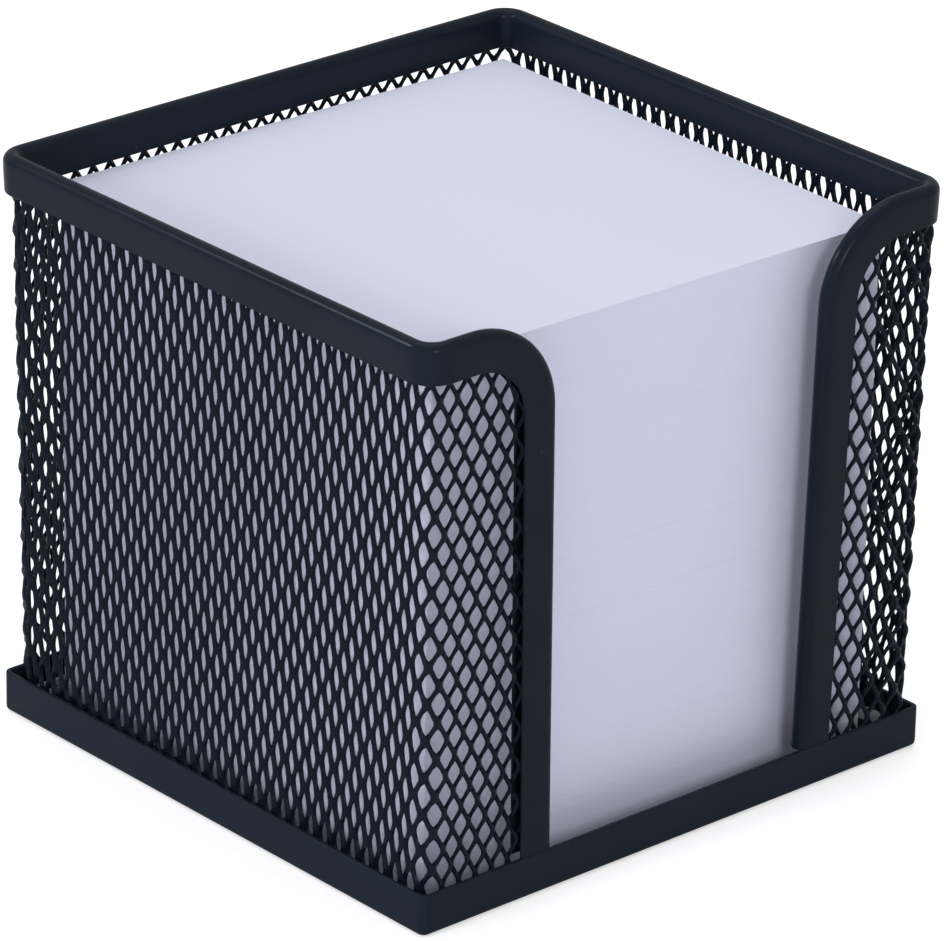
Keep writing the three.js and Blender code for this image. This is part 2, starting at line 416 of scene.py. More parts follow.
class NodeDesk:
    """Adds nodes to one tree and wires them."""

    def __init__(self, tree: Tree) -> None:
        """Starts on a tree."""
        self.tree = tree

    def add(self, kind: str, wires: dict | Sequence = (), **settings: object) -> bpy.types.Node:
        """Adds a node.

        Args:
            kind: The node's type name.
            wires: Value or source socket for each input, by name or number, or in order.
            settings: Properties of the node.

        Returns:
            The new node.
        """
        node = self.tree.nodes.new(kind)
        for key, value in settings.items():
            setattr(node, key, value)
        wires = wires if isinstance(wires, dict) else dict(enumerate(wires))
        for key, value in wires.items():
            self.wire(node.inputs[key], value)
        return node

    def wire(self, target: Socket, value: object) -> None:
        """Links a source socket to an input, or sets the input's value.

        Args:
            target: The input.
            value: Source socket or plain value.
        """
        if isinstance(value, Socket):
            self.tree.links.new(value, target)
        else:
            target.default_value = value

    def made(self, kind: str, wires: dict | Sequence = (), **settings: object) -> Socket:
        """Adds a node and returns its first output."""
        return self.add(kind, wires, **settings).outputs[0]

    def math(self, operation: str, *values: object) -> Socket:
        """Adds a Math node on up to three values and returns its output."""
        return self.made("ShaderNodeMath", values, operation=operation)

    def plus(self, first: object, second: object) -> Socket:
        """Adds two values."""
        return self.math("ADD", first, second)

    def minus(self, first: object, second: object) -> Socket:
        """Takes the second value from the first."""
        return self.math("SUBTRACT", first, second)

    def times(self, first: object, second: object) -> Socket:
        """Multiplies two values."""
        return self.math("MULTIPLY", first, second)

    def line(self, value: object, slope: object, start: object) -> Socket:
        """A value times a slope, plus a start."""
        return self.math("MULTIPLY_ADD", value, slope, start)

    def vector(self, operation: str, *values: object) -> Socket:
        """Adds a Vector Math node and returns its first output."""
        return self.made("ShaderNodeVectorMath", values, operation=operation)

    def scaled(self, vector: object, share: object) -> Socket:
        """Multiplies a vector by a value."""
        return self.made("ShaderNodeVectorMath", {0: vector, "Scale": share}, operation="SCALE")

    def joined(self, x: object, y: object, z: object) -> Socket:
        """Combines three values into a vector."""
        return self.made("ShaderNodeCombineXYZ", (x, y, z))

    def parts(self, vector: Socket) -> list[Socket]:
        """Splits a vector into its three values."""
        return list(self.add("ShaderNodeSeparateXYZ", (vector,)).outputs)

    def noise(self, vector: object, scale: object, detail: float, roughness: float = 0.5) -> bpy.types.Node:
        """Adds a Noise Texture node."""
        wires = {"Vector": vector, "Scale": scale, "Detail": detail, "Roughness": roughness}
        return self.add("ShaderNodeTexNoise", wires)

    def from_span(self, value: object, low: float, high: float) -> Socket:
        """Maps a span onto zero to one."""
        return self.made("ShaderNodeMapRange", {"Value": value, "From Min": low, "From Max": high})

    def mixed(self, share: object, first: object, second: object) -> Socket:
        """Mixes two colours."""
        return self.add("ShaderNodeMix", {0: share, 6: first, 7: second}, data_type="RGBA").outputs[2]

    def bumped(self, height: object, strength: float, distance: float) -> Socket:
        """Turns a height into a normal."""
        return self.made("ShaderNodeBump", {"Height": height, "Strength": strength, "Distance": distance})

    def grouped(self, group: Tree, wires: dict) -> Sockets:
        """Adds a group of the tree's own kind and returns its outputs."""
        return self.add(group.bl_idname.replace("Tree", "Group"), wires, node_tree=group).outputs

    def moved(self, geometry: object, position: object) -> Socket:
        """Sets the positions of a geometry's points."""
        return self.made("GeometryNodeSetPosition", {"Geometry": geometry, "Position": position})

    def shape(self, source: object) -> Socket:
        """The geometry of an object."""
        return self.add("GeometryNodeObjectInfo", {"Object": source}).outputs["Geometry"]

    def spread(self, points: object, instance: object, wires: dict) -> Socket:
        """Sets an instance on points and makes it real geometry."""
        wires = {"Points": points, "Instance": instance, **wires}
        return self.made("GeometryNodeRealizeInstances", [self.made("GeometryNodeInstanceOnPoints", wires)])

    def dressed(self, geometry: object, material: object) -> Socket:
        """Gives a geometry its material."""
        return self.made("GeometryNodeSetMaterial", {"Geometry": geometry, "Material": material})


def new_tree(
    name: str, kind: TreeKind, inputs: dict, outputs: dict
) -> tuple[Tree, NodeDesk, Sockets, Sockets]:
    """Makes a node group with named sockets.

    Args:
        name: Name of the group.
        kind: Whether it makes a shape or a finish.
        inputs: Names of the inputs for each sort of socket.
        outputs: Names of the outputs for each sort of socket.

    Returns:
        The tree, its desk, the sockets of its inputs and those of its outputs.
    """
    tree = bpy.data.node_groups.new(name, kind.value)
    for side, sockets in (("INPUT", inputs), ("OUTPUT", outputs)):
        for sort, names in sockets.items():
            for socket in names:
                tree.interface.new_socket(name=socket, in_out=side, socket_type=f"NodeSocket{sort}")
    desk = NodeDesk(tree)
    return tree, desk, desk.add("NodeGroupInput").outputs, desk.add("NodeGroupOutput").inputs


# Finishes


@dataclass
class ShaderShelf:
    """Shader node groups that more than one finish uses, each built once."""

    peel_detail: float = 3.0
    cloud_detail: float = 5.0
    cloud_span: Pair = (0.3, 0.7)
    speck_radius: float = 0.16
    fibre_detail: float = 6.0
    streak_detail: float = 4.0
    streak_roughness: float = 0.65
    streak_span: Pair = (0.32, 0.68)

    def __post_init__(self) -> None:
        """Builds the groups."""
        self.coat_skin = self._coat_skin()
        self.dust = self._dust()
        self.fibre = self._fibre()

    def _coat_skin(self) -> Tree:
        """Builds the slight waviness and cloudiness of a baked coat.

        Returns:
            The group.
        """
        tree, desk, given, target = new_tree(
            "coat_skin",
            TreeKind.SHADER,
            {"Vector": ("Vector",), "Float": ("Peel Scale", "Cloud Scale")},
            {"Float": ("Height", "Cloud")},
        )
        peel = desk.noise(given["Vector"], given["Peel Scale"], self.peel_detail)
        cloud = desk.noise(given["Vector"], given["Cloud Scale"], self.cloud_detail)
        desk.wire(target["Height"], peel.outputs[0])
        desk.wire(target["Cloud"], desk.from_span(cloud.outputs[0], *self.cloud_span))
        return tree

    def _dust(self) -> Tree:
        """Builds sparse pale specks of dust and pinholes.

        Returns:
            The group.
        """
        tree, desk, given, target = new_tree(
            "dust_specks",
            TreeKind.SHADER,
            {"Vector": ("Vector",), "Float": ("Scale", "Share")},
            {"Float": ("Mask",)},
        )
        cells = desk.add("ShaderNodeTexVoronoi", {"Vector": given["Vector"], "Scale": given["Scale"]})
        near = desk.math("LESS_THAN", cells.outputs["Distance"], self.speck_radius)
        chosen = desk.math("LESS_THAN", desk.parts(cells.outputs["Color"])[0], given["Share"])
        desk.wire(target["Mask"], desk.times(near, chosen))
        return tree

    def _fibre(self) -> Tree:
        """Builds paper fibre, and streaks that run level along the cut edges of sheets.

        Returns:
            The group.
        """
        tree, desk, given, target = new_tree(
            "paper_fibre",
            TreeKind.SHADER,
            {"Vector": ("Vector",), "Float": ("Fibre Scale", "Streak Length", "Streak Height")},
            {"Float": ("Fibre", "Streak")},
        )
        fibre = desk.noise(given["Vector"], given["Fibre Scale"], self.fibre_detail)
        long = desk.math("DIVIDE", 1.0, given["Streak Length"])
        tall = desk.math("DIVIDE", 1.0, given["Streak Height"])
        stretched = desk.vector("MULTIPLY", given["Vector"], desk.joined(long, long, tall))
        streak = desk.noise(stretched, 1.0, self.streak_detail, self.streak_roughness)
        desk.wire(target["Fibre"], fibre.outputs[0])
        desk.wire(target["Streak"], desk.from_span(streak.outputs[0], *self.streak_span))
        return tree


def new_material(name: str) -> tuple[Material, NodeDesk, Sockets, Socket]:
    """Makes a material with a Principled shader.

    Args:
        name: Name of the material.

    Returns:
        The material, its desk, the shader's inputs and the Object coordinates.
    """
    material = bpy.data.materials.new(name)
    material.use_nodes = True
    desk = NodeDesk(material.node_tree)
    shader = material.node_tree.nodes["Principled BSDF"]
    return material, desk, shader.inputs, desk.add("ShaderNodeTexCoord").outputs["Object"]


@dataclass(frozen=True)
class CoatFinish:
    """A black baked coat on steel."""

    name: str
    deep: Colour
    pale: Colour
    speck: Colour
    roughness: float
    roughness_spread: float
    specular: float
    peel_scale: float
    cloud_scale: float
    dust_scale: float
    dust_share: float
    bump: float
    bump_distance: float = 0.05 * MM

    def make(self, shelf: ShaderShelf) -> Material:
        """Builds the material.

        Args:
            shelf: The shared shader groups.

        Returns:
            The material.
        """
        material, desk, shader, place = new_material(self.name)
        scales = {"Peel Scale": self.peel_scale, "Cloud Scale": self.cloud_scale}
        skin = desk.grouped(shelf.coat_skin, {"Vector": place, **scales})
        specks = {"Vector": place, "Scale": self.dust_scale, "Share": self.dust_share}
        dust = desk.grouped(shelf.dust, specks)["Mask"]
        tone = desk.mixed(skin["Cloud"], self.deep, self.pale)
        low, high = self.roughness - self.roughness_spread, self.roughness + self.roughness_spread
        wires = {"Value": skin["Cloud"], "To Min": low, "To Max": high}
        desk.wire(shader["Base Color"], desk.mixed(dust, tone, self.speck))
        desk.wire(shader["Roughness"], desk.made("ShaderNodeMapRange", wires))
        desk.wire(shader["Normal"], desk.bumped(skin["Height"], self.bump, self.bump_distance))
        shader["Specular IOR Level"].default_value = self.specular
        return material


@dataclass(frozen=True)
class PaperFinish:
    """White uncoated note paper."""

    name: str
    white: Colour
    grey: Colour
    streak_share: float
    fibre_scale: float
    streak_length: float
    streak_height: float
    bump: float
    fibre_share: float = 0.12
    bump_distance: float = 0.02 * MM
    roughness: float = 0.88
    specular: float = 0.25

    def make(self, shelf: ShaderShelf) -> Material:
        """Builds the material.

        Args:
            shelf: The shared shader groups.

        Returns:
            The material.
        """
        material, desk, shader, place = new_material(self.name)
        sizes = {"Streak Length": self.streak_length, "Streak Height": self.streak_height}
        fibre = desk.grouped(shelf.fibre, {"Vector": place, "Fibre Scale": self.fibre_scale, **sizes})
        mottle = desk.line(fibre["Fibre"], self.fibre_share, desk.times(fibre["Streak"], self.streak_share))
        desk.wire(shader["Base Color"], desk.mixed(mottle, self.white, self.grey))
        desk.wire(shader["Normal"], desk.bumped(fibre["Fibre"], self.bump, self.bump_distance))
        shader["Roughness"].default_value = self.roughness
        shader["Specular IOR Level"].default_value = self.specular
        return material


class Finishes:
    """The finishes of every piece."""

    def __init__(self) -> None:
        """Builds the materials."""
        shelf = ShaderShelf()
        # The tray's coat is paler than the channel's: painted light, standing for the floor's bounce on the
        # tray.
        coat = CoatFinish(
            name="tray_coat",
            deep=(0.0090, 0.0150, 0.0246, 1),
            pale=(0.0112, 0.0180, 0.0290, 1),
            speck=(0.021, 0.027, 0.036, 1),
            roughness=0.38,
            roughness_spread=0.04,
            specular=0.08,
            peel_scale=900.0,
            cloud_scale=60.0,
            dust_scale=520.0,
            dust_share=0.012,
            bump=0.25,
        )
        # The channel's coat is darker than the tray's: painted shade on the rim, which gets less light from
        # above.
        channel = replace(
            coat,
            name="channel_coat_with_painted_shade",
            deep=(0.0076, 0.0125, 0.0206, 1),
            pale=(0.0096, 0.0154, 0.0248, 1),
            roughness=0.26,
        )
        net = replace(
            coat,
            name="net_coat",
            deep=(0.0042, 0.0074, 0.0150, 1),
            pale=(0.0056, 0.0095, 0.0185, 1),
            roughness=0.3,
            specular=0.1,
            peel_scale=1600.0,
            dust_share=0.01,
        )
        edge = PaperFinish(
            name="sheet_edge",
            white=(0.74, 0.765, 0.935, 1),
            grey=(0.60, 0.615, 0.745, 1),
            streak_share=0.07,
            fibre_scale=1400.0,
            streak_length=22 * MM,
            streak_height=0.45 * MM,
            bump=0.2,
        )
        # The top sheet's white is raised as painted light, making up for lamp light that the top does not
        # get.
        face = replace(edge, name="sheet_face_with_painted_light", white=(0.705, 0.742, 0.902, 1), streak_share=0.0, bump=0.12)
        self.tray_coat, self.channel_coat_with_painted_shade = coat.make(shelf), channel.make(shelf)
        self.net_coat = net.make(shelf)
        self.sheet_edge, self.sheet_face_with_painted_light = edge.make(shelf), face.make(shelf)


# Wall path


@dataclass
class WallBend:
    """Bends pieces drawn flat, along the unrolled wall, onto the leaning wall."""

    sizes: HolderSizes
    straight_step: float = 2 * MM
    corner_steps: int = 24

    def __post_init__(self) -> None:
        """Makes the path curve and the bending tree."""
        self.curve, self.tree = self._curve(), self._tree()

    def _curve(self) -> Item:
        """Draws the path in plan as a curve of straight steps.

        Returns:
            The curve.
        """
        points = self.sizes.plan_points(self.straight_step, self.corner_steps)
        data = bpy.data.curves.new("wall_path", "CURVE")
        data.dimensions = "3D"
        spline = data.splines.new("POLY")
        spline.points.add(len(points) - 1)
        for point, place in zip(spline.points, points):
            point.co = (*place, 1.0)
        return linked("wall_path", data)

    @staticmethod
    def _tree() -> Tree:
        """Builds the tree that moves each point from its flat place to the wall.

        Returns:
            The tree.
        """
        tree, desk, given, target = new_tree(
            "wall_bend",
            TreeKind.GEOMETRY,
            {"Geometry": ("Geometry",), "Object": ("Path",), "Float": BEND_FLOATS},
            {"Geometry": ("Geometry",)},
        )
        along, out, up = desk.parts(desk.made("GeometryNodeInputPosition"))
        wires = {"Curves": desk.shape(given["Path"]), "Length": along}
        sample = desk.add("GeometryNodeSampleCurve", wires, mode="LENGTH", use_all_curves=True).outputs
        side = desk.vector("CROSS_PRODUCT", (0.0, 0.0, 1.0), sample["Tangent"])
        pushed = desk.scaled(desk.vector("NORMALIZE", side), out)
        x, y, _ = desk.parts(desk.vector("ADD", sample["Position"], pushed))
        rise = desk.minus(up, given["Lip Level"])
        grown_x = desk.times(x, desk.line(rise, given["Lean X"], 1.0))
        grown_y = desk.times(y, desk.line(rise, given["Lean Y"], 1.0))
        place = desk.joined(desk.plus(grown_x, given["Shift X"]), desk.plus(grown_y, given["Shift Y"]), up)
        desk.wire(target["Geometry"], desk.moved(given["Geometry"], place))
        return tree

    def values(self, shift: Pair = (0.0, 0.0)) -> dict[str, object]:
        """Values for the tree's named inputs, with a shift off the wall's place in X and Y."""
        numbers = (self.sizes.lip_height, *self.sizes.lean, *shift)
        return {"Path": self.curve, **dict(zip(BEND_FLOATS, numbers))}

    def apply(self, made: Item, shift: Pair = (0.0, 0.0)) -> Item:
        """Bends an object that is drawn flat, with a shift off the wall's place in X and Y."""
        return with_nodes(made, self.tree, self.values(shift))

    def close(self) -> None:
        """Removes the path curve, which is no piece of the object."""
        bpy.data.objects.remove(self.curve)


# Tray


@dataclass
class Tray:
    """The pressed sheet tray with its standing lip."""

    sizes: HolderSizes
    finishes: Finishes
    corner: float = 1.4 * MM
    edge_bend: float = 0.85 * MM
    lip_round: float = 0.22 * MM
    bend_steps: int = 6
    corner_steps: int = 10
    lip_steps: int = 4
    sharp_degrees: float = 40.0

    def profile(self) -> list[Pair]:
        """Draws the section of the lip, from below, over its edge, to inside.

        Returns:
            Points of distance in from the outline and height.
        """
        sheet, lip, bend, edge = self.sizes.sheet, self.sizes.lip_height, self.edge_bend, self.lip_round
        return [
            *arc((bend, bend), bend, -90, -90, self.bend_steps),
            *arc((edge, lip - edge), edge, 180, -90, self.lip_steps),
            *arc((sheet - edge, lip - edge), edge, 90, -90, self.lip_steps),
            *arc((bend, bend), bend - sheet, 180, 90, self.bend_steps),
        ]

    def ring(self, inset: float, height: float) -> list[Triple]:
        """Draws one ring round the tray.

        Args:
            inset: Distance in from the outline.
            height: Height of the ring.

        Returns:
            Its points, counter-clockwise seen from above.
        """
        half_x, half_y = self.sizes.tray_half
        radius = max(self.corner - inset, 0.0)
        points = []
        for turn, (side_x, side_y) in enumerate([(1, 1), (-1, 1), (-1, -1), (1, -1)]):
            centre = (side_x * (half_x - self.corner), side_y * (half_y - self.corner))
            points += [(x, y, height) for x, y in arc(centre, radius, 90 * turn, 90, self.corner_steps)]
        return points

    def build(self) -> None:
        """Builds and places the tray."""
        rings = [self.ring(inset, height) for inset, height in self.profile()]
        made = shaded(facing_out(mesh_object("tray_body", *lofted(rings))), self.sharp_degrees)
        made.data.materials.append(self.finishes.tray_coat)
        placed(made, Body.HOLDER, Slot.COAT, "base_tray")


# Channel


@dataclass
class EdgeChannel:
    """The folded channel over the rim and down both sides of the opening."""

    sizes: HolderSizes
    finishes: Finishes
    bend: WallBend
    height: float = 6.4 * MM
    sheet: float = 0.5 * MM
    end_round: float = 0.12 * MM
    mouth_pinch: float = 0.1 * MM
    fold_steps: int = 16
    shoulder_steps: int = 28
    straight_step: float = 3 * MM
    corner_step: float = 0.45 * MM
    sharp_degrees: float = 35.0

    def section(self) -> list[Pair]:
        """Draws the cross-section.

        Returns:
            Points of distance in from the edge and distance out of the wall.
        """
        outer = self.sizes.channel_thickness / 2
        inner, edge, end = outer - self.sheet, self.end_round, self.height
        high, low = outer - self.mouth_pinch, inner - self.mouth_pinch
        out_end = [(end - edge, high), (end, high - edge), (end, low + edge), (end - edge, low)]
        in_end = [(inset, -out) for inset, out in out_end]
        stem = 2 * outer
        outside, inside = (
            [(stem, radius), *arc((outer, 0.0), radius, 90, 180, self.fold_steps), (stem, -radius)]
            for radius in (outer, inner)
        )
        return [*outside, *in_end, *reversed(inside), *reversed(out_end)]

    def stations(self) -> list[Colour]:
        """Finds places along the edge line, from one foot to the other.

        Returns:
            Distance along the path, height, and the direction inwards at each place.
        """
        sizes = self.sizes
        foot, centre, level = sizes.foot_place, sizes.shoulder_place, sizes.shoulder_level
        rise, slant = level - sizes.lip_height, centre - sizes.shoulder - foot
        count = math.ceil(rise / self.straight_step)
        shares = [i / count for i in range(count)]
        left = [(foot + slant * share, sizes.lip_height + rise * share, 1.0, 0.0) for share in shares]
        for x, z in arc((0.0, 0.0), 1.0, 180, -90, self.shoulder_steps):
            left.append((centre + sizes.shoulder * x, level + sizes.shoulder * z, -x, -z))
        length = sizes.path_length
        right = [(length - s, z, -in_s, in_z) for s, z, in_s, in_z in reversed(left)]
        top = []
        for name, begin, end in sizes.legs():
            step = self.corner_step if "corner" in name else self.straight_step
            start, stop = max(begin, centre), min(end, length - centre)
            pieces = max(1, math.ceil((stop - start) / step))
            top += [(start + (stop - start) * i / pieces, sizes.height, 0.0, -1.0) for i in range(pieces)]
        return [*left, *top[1:], *right]

    def build(self) -> None:
        """Builds and places the channel."""
        section = self.section()
        rings = [
            [(s + in_s * inset, out, z + in_z * inset) for inset, out in section]
            for s, z, in_s, in_z in self.stations()
        ]
        made = self.bend.apply(mesh_object("rim_fold", *lofted(rings)))
        shaded(facing_out(made), self.sharp_degrees)
        made.data.materials.append(self.finishes.channel_coat_with_painted_shade)
        placed(made, Body.HOLDER, Slot.COAT, "rim_channel")


# Net


@dataclass(frozen=True)
class NetLay:
    """How the mesh lies where two wall pieces meet.

    The column is counted in half pitches. The rise is how far the rows stand
    above their drawn height, in metres, and the drift is how far the columns
    lean along the wall for each metre of height.
    """

    column: float
    rise: float
    drift: float


def hand_wrapped_lay() -> tuple[NetLay, ...]:
    """Gives the lay at the ends of the wall pieces, along the path.

    The sheet was wrapped round by hand: its rows climb towards the end of the
    path, and it is stretched a little where it goes round a bend.

    Returns:
        One more lay than there are wall pieces.
    """
    return (
        NetLay(-25.41, 1.06 * MM, -0.024),
        NetLay(3.5, 0.05 * MM, -0.024),
        NetLay(6.6, 0.0, -0.038),
        NetLay(63.05, 1.99 * MM, -0.038),
        NetLay(66.19, 2.9 * MM, -0.038),
        NetLay(123.08, 3.49 * MM, -0.038),
        NetLay(125.95, 3.57 * MM, -0.038),
        NetLay(181.4, 4.4 * MM, -0.045),
        NetLay(184.45, 3.9 * MM, -0.068),
        NetLay(211.0, 7.4 * MM, -0.068),
    )


@dataclass
class ExpandedNet:
    """The wall of expanded metal: two rows of twisted strands to each pitch.

    A knot is where two strands run side by side. The left strand of a knot is
    the right strand of the knots above and below it to the left.
    """

    sizes: HolderSizes
    finishes: Finishes
    bend: WallBend
    lay: tuple[NetLay, ...] = field(default_factory=hand_wrapped_lay)
    pitch: float = 3.3 * MM
    row_pitch: float = 6.143 * MM
    first_row: float = 3.59 * MM
    middle_level: float = 49.67 * MM
    lowest_knot: float = 2.4 * MM
    shift: Pair = (0.3 * MM, -0.2 * MM)
    strand_width: float = 0.72 * MM
    strand_thickness: float = 0.66 * MM
    strand_bevel: float = 0.13 * MM
    twist_degrees: float = 40.0
    bond_length: float = 0.6 * MM
    crotch_share: float = 0.36
    least_inset: float = 2.2 * MM
    band_height: float = 2.3 * MM
    band_thickness: float = 0.6 * MM
    band_step: float = 0.6 * MM
    knot_weld: float = 0.001 * MM
    net_weld: float = 0.002 * MM
    share_slack: float = 1e-6
    sharp_degrees: float = 50.0

    def section(self, centre: float, drift: float, bevels: Pair) -> list[Pair]:
        """Draws the cross-section of one strand, level, round its centre.

        Args:
            centre: Distance of the strand's centre along the wall.
            drift: Distance of the strand's centre out of the wall.
            bevels: Bevel of its left side and of its right side.

        Returns:
            Eight points of (along, out), counter-clockwise seen from above in
            the flat drawing.
        """
        half_w, half_t = self.strand_width / 2, self.strand_thickness / 2
        left, right = bevels
        local = [
            (half_w, -half_t + right),
            (half_w, half_t - right),
            (half_w - right, half_t),
            (-half_w + left, half_t),
            (-half_w, half_t - left),
            (-half_w, -half_t + left),
            (-half_w + left, -half_t),
            (half_w - right, -half_t),
        ]
        # The wide faces lean so that the mesh is open seen from one side only.
        twist = math.radians(self.twist_degrees)
        cos, sin = math.cos(twist), math.sin(twist)
        return [(centre + u * cos - v * sin, drift + u * sin + v * cos) for u, v in local]

    def pinned(self, corners: list[Pair], side: int) -> list[Pair]:
        """Draws a strand's inner corners to the knot's middle, where the crotch ends.

        Args:
            corners: The strand's eight corners.
            side: Less than zero for the left strand.

        Returns:
            The corners, those on the inner side moved.
        """
        twist, half = math.radians(self.twist_degrees), self.strand_thickness / 2
        high = (-half * math.sin(twist), half * math.cos(twist))
        low = (-high[0], -high[1])
        inner = {0: low, 1: high, 2: high, 7: low} if side < 0 else {3: high, 4: high, 5: low, 6: low}
        return [inner.get(k, corner) for k, corner in enumerate(corners)]

    def strand(self, side: int) -> list[list[Triple]]:
        """Draws one strand of a knot, flat round the origin.

        Args:
            side: Less than zero for the left strand, more for the right one.

        Returns:
            Rings of eight corners, from below up.
        """
        twist, reach = math.radians(self.twist_degrees), self.strand_width / 2
        near_s, near_n = reach * math.cos(twist), reach * math.sin(twist)
        end_s, end_z, bond = self.pitch / 4, self.row_pitch / 4, self.bond_length / 2
        crotch = bond + (end_z - bond) * self.crotch_share
        rings = []
        for level in (-end_z, -crotch, -bond, bond, crotch, end_z):
            share = (abs(level) - bond) / (end_z - bond)
            inner = self.strand_bevel if abs(level) == end_z else 0.0
            bevels = (self.strand_bevel, inner) if side < 0 else (inner, self.strand_bevel)
            along, out = near_s + (end_s - near_s) * share, near_n * (1 - share)
            corners = self.section(side * along, side * out, bevels)
            if abs(level) == crotch:
                corners = self.pinned(corners, side)
            rings.append([(s, n, level) for s, n in corners])
        return rings

    def knot(self) -> Item:
        """Makes one knot with its four half strands, drawn flat round the origin.

        Returns:
            The knot, open where the strands are bonded and where they end.
        """
        mesh = bpy.data.meshes.new("knot")
        with opened(mesh) as shell:
            for side, hidden in ((-1, {7, 0, 1}), (1, {3, 4, 5})):
                rings = [[shell.verts.new(corner) for corner in ring] for ring in self.strand(side)]
                for low, (ring, above) in enumerate(zip(rings, rings[1:])):
                    bonded = 0 < low < len(rings) - 2
                    for k in range(len(ring)):
                        if not (bonded and k in hidden):
                            after = (k + 1) % len(ring)
                            shell.faces.new((ring[k], ring[after], above[after], above[k]))
            bmesh.ops.remove_doubles(shell, verts=shell.verts, dist=self.knot_weld)
            bmesh.ops.dissolve_degenerate(shell, edges=shell.edges, dist=WELD)
        return linked("knot", mesh)

    def tree(self) -> Tree:
        """Builds the tree that sets knots on a staggered lattice and bends them onto the wall.

        Returns:
            The tree.
        """
        tree, desk, given, target = new_tree(
            "expanded_net",
            TreeKind.GEOMETRY,
            {
                "Geometry": ("Geometry",),
                "Object": ("Knot", "Path"),
                "Int": ("Columns", "Rows", "First Column", "Lowest Row"),
                "Float": ("Half Row", "First Row", "Lowest Knot", *LAY_FLOATS, *EDGE_FLOATS, *BEND_FLOATS),
                "Material": ("Coat",),
            },
            {"Geometry": ("Geometry",)},
        )
        last_column, last_row = desk.minus(given["Columns"], 1.0), desk.minus(given["Rows"], 1.0)
        wires = {"Size X": last_column, "Size Y": last_row}
        wires |= {"Vertices X": given["Columns"], "Vertices Y": given["Rows"]}
        grid = desk.made("GeometryNodeMeshGrid", wires)
        spot_x, spot_y, _ = desk.parts(desk.made("GeometryNodeInputPosition"))
        column = desk.plus(desk.math("ROUND", desk.line(last_column, 0.5, spot_x)), given["First Column"])
        row = desk.plus(desk.math("ROUND", desk.line(last_row, 0.5, spot_y)), given["Lowest Row"])
        height = desk.line(row, given["Half Row"], given["First Row"])
        flat = desk.joined(desk.times(column, given["Half Pitch"]), 0.0, height)
        lay, lay_wires = self._lay_tree(), {name: given[name] for name in LAY_FLOATS}
        knot = desk.grouped(lay, {"Drawn": flat, **lay_wires})
        along, _, up = desk.parts(knot["Place"])
        staggered = desk.math("LESS_THAN", desk.math("FLOORED_MODULO", desk.plus(column, row), 2.0), 0.5)
        after_begin = desk.math("GREATER_THAN", knot["Share"], -self.share_slack)
        before_end = desk.math("LESS_THAN", knot["Share"], 1 - self.share_slack)
        above = desk.math("GREATER_THAN", up, given["Lowest Knot"])
        inside = desk.times(above, self._inside_edge(desk, given, along, up))
        kept = desk.times(desk.times(staggered, desk.times(after_begin, before_end)), inside)
        # The points are chosen before they move, so the choice is stored on them.
        wires = {"Geometry": grid, "Name": "kept", "Value": kept}
        stored = desk.made("GeometryNodeStoreNamedAttribute", wires, data_type="FLOAT", domain="POINT")
        chosen = desk.made("GeometryNodeInputNamedAttribute", {"Name": "kept"}, data_type="FLOAT")
        selection = {"Selection": desk.math("GREATER_THAN", chosen, 0.5)}
        knots = desk.spread(desk.moved(stored, flat), desk.shape(given["Knot"]), selection)
        welded = desk.made("GeometryNodeMergeByDistance", {"Geometry": knots, "Distance": self.net_weld})
        drawn = desk.made("GeometryNodeInputPosition")
        wrapped = desk.moved(welded, desk.grouped(lay, {"Drawn": drawn, **lay_wires})["Place"])
        bend_wires = {name: given[name] for name in ("Path", *BEND_FLOATS)}
        bent = desk.grouped(self.bend.tree, {"Geometry": wrapped, **bend_wires})["Geometry"]
        desk.wire(target["Geometry"], desk.dressed(bent, given["Coat"]))
        return tree

    @staticmethod
    def _lay_tree() -> Tree:
        """Builds the group that takes a drawn place to its place on the unrolled wall.

        Returns:
            The group.
        """
        tree, desk, given, target = new_tree(
            "net_lay",
            TreeKind.GEOMETRY,
            {"Vector": ("Drawn",), "Float": LAY_FLOATS},
            {"Vector": ("Place",), "Float": ("Share",)},
        )
        x, out, z = desk.parts(given["Drawn"])
        columns = desk.minus(given["Column End"], given["Column Begin"])
        passed = desk.minus(desk.math("DIVIDE", x, given["Half Pitch"]), given["Column Begin"])
        share = desk.math("DIVIDE", passed, columns)
        pairs = [(given[f"{name} Begin"], given[f"{name} End"]) for name in ("Leg", "Rise", "Drift")]
        leg, rise, drift = (desk.line(share, desk.minus(end, begin), begin) for begin, end in pairs)
        along = desk.line(drift, desk.minus(z, given["Middle Level"]), leg)
        desk.wire(target["Place"], desk.joined(along, out, desk.plus(z, rise)))
        desk.wire(target["Share"], share)
        return tree

    @staticmethod
    def _inside_edge(desk: NodeDesk, given: Sockets, along: Socket, up: Socket) -> Socket:
        """Asks whether a knot lies far enough inside the channel's outer edge.

        Args:
            desk: The tree's desk.
            given: The tree's named inputs.
            along: The knot's distance along the path.
            up: The knot's height.

        Returns:
            One inside, zero outside.
        """
        radius, level = given["Shoulder Radius"], given["Shoulder Level"]
        mirrored = desk.math("MINIMUM", along, desk.minus(given["Path Length"], along))
        across = desk.math("MAXIMUM", desk.minus(given["Shoulder Place"], mirrored), 0.0)
        above = desk.math("MAXIMUM", desk.minus(up, level), 0.0)
        squares = desk.plus(desk.math("POWER", across, 2.0), desk.math("POWER", above, 2.0))
        rounded = desk.minus(radius, desk.math("SQRT", squares))
        # Below the shoulder the edge runs down to the foot in a straight line.
        gap = desk.minus(given["Foot Place"], desk.minus(given["Shoulder Place"], radius))
        share = desk.math("MAXIMUM", desk.math("DIVIDE", desk.minus(level, up), level), 0.0)
        inset = desk.minus(rounded, desk.times(share, gap))
        return desk.math("GREATER_THAN", inset, given["Least Inset"])

